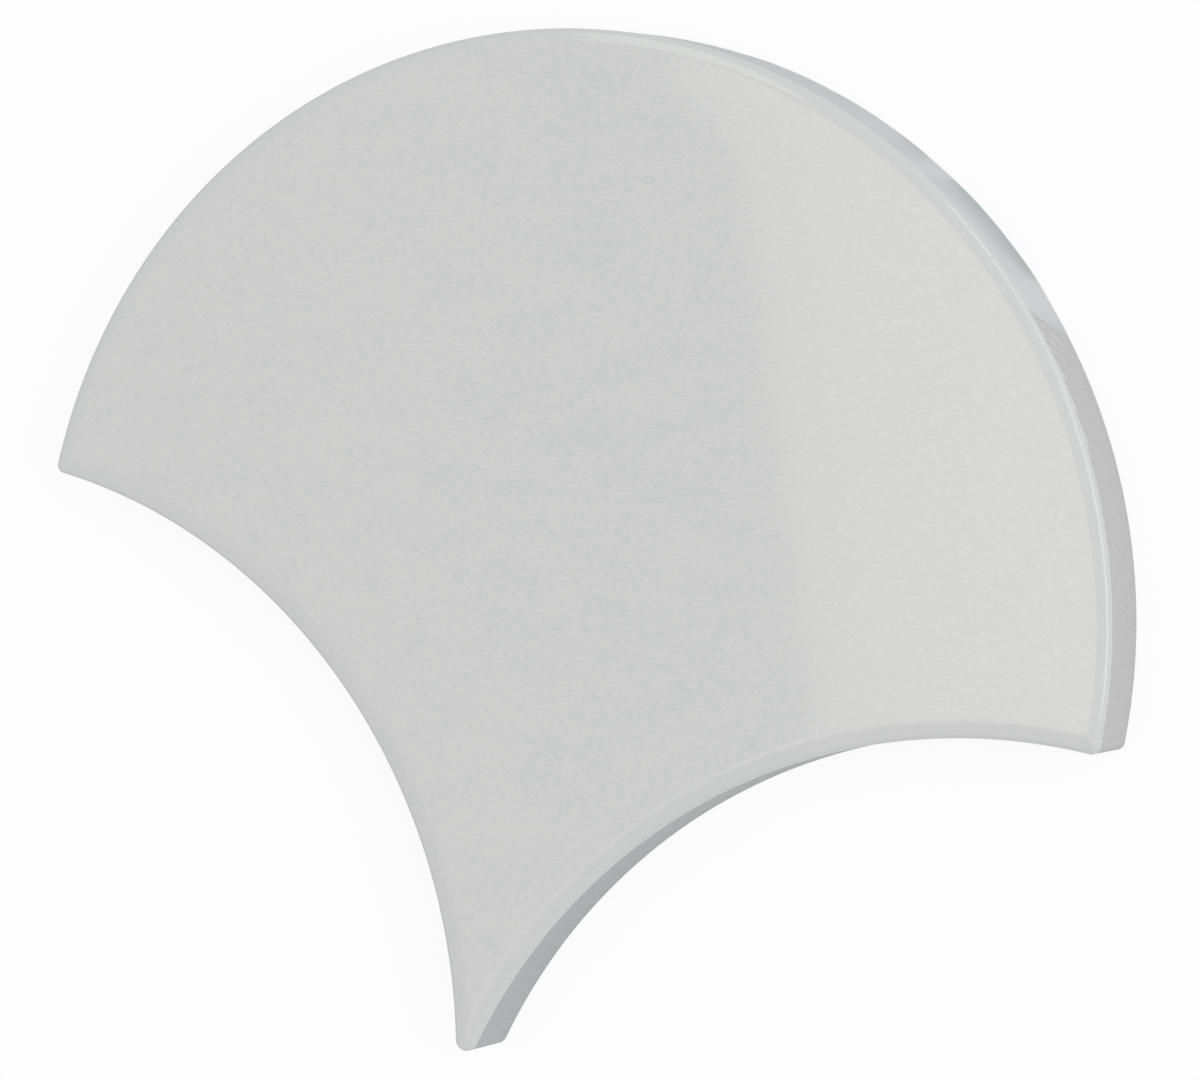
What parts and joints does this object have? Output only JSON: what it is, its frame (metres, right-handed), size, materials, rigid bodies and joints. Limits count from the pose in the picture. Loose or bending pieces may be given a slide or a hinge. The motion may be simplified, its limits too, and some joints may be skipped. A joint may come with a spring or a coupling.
{
  "type": "fish scale tile",
  "caption": "Fan-shaped glazed ceramic wall tile with a half-round crown, hollow lower sides and a narrow tip, so that like tiles nest in rows.",
  "frame": {"origin": "centre of the crown's arc, on the back face: the point from which the tiles are set out", "axes": "+Z out of the glazed face, +Y to the top of the crown, -Y to the tip, +X across the width"},
  "size_m": [0.12, 0.1064, 0.0085],
  "materials": {
    "glazed_ceramic": "gloss"
  },
  "bodies": {
    "root": {"tile": "glazed_ceramic"}
  },
  "joints": []
}
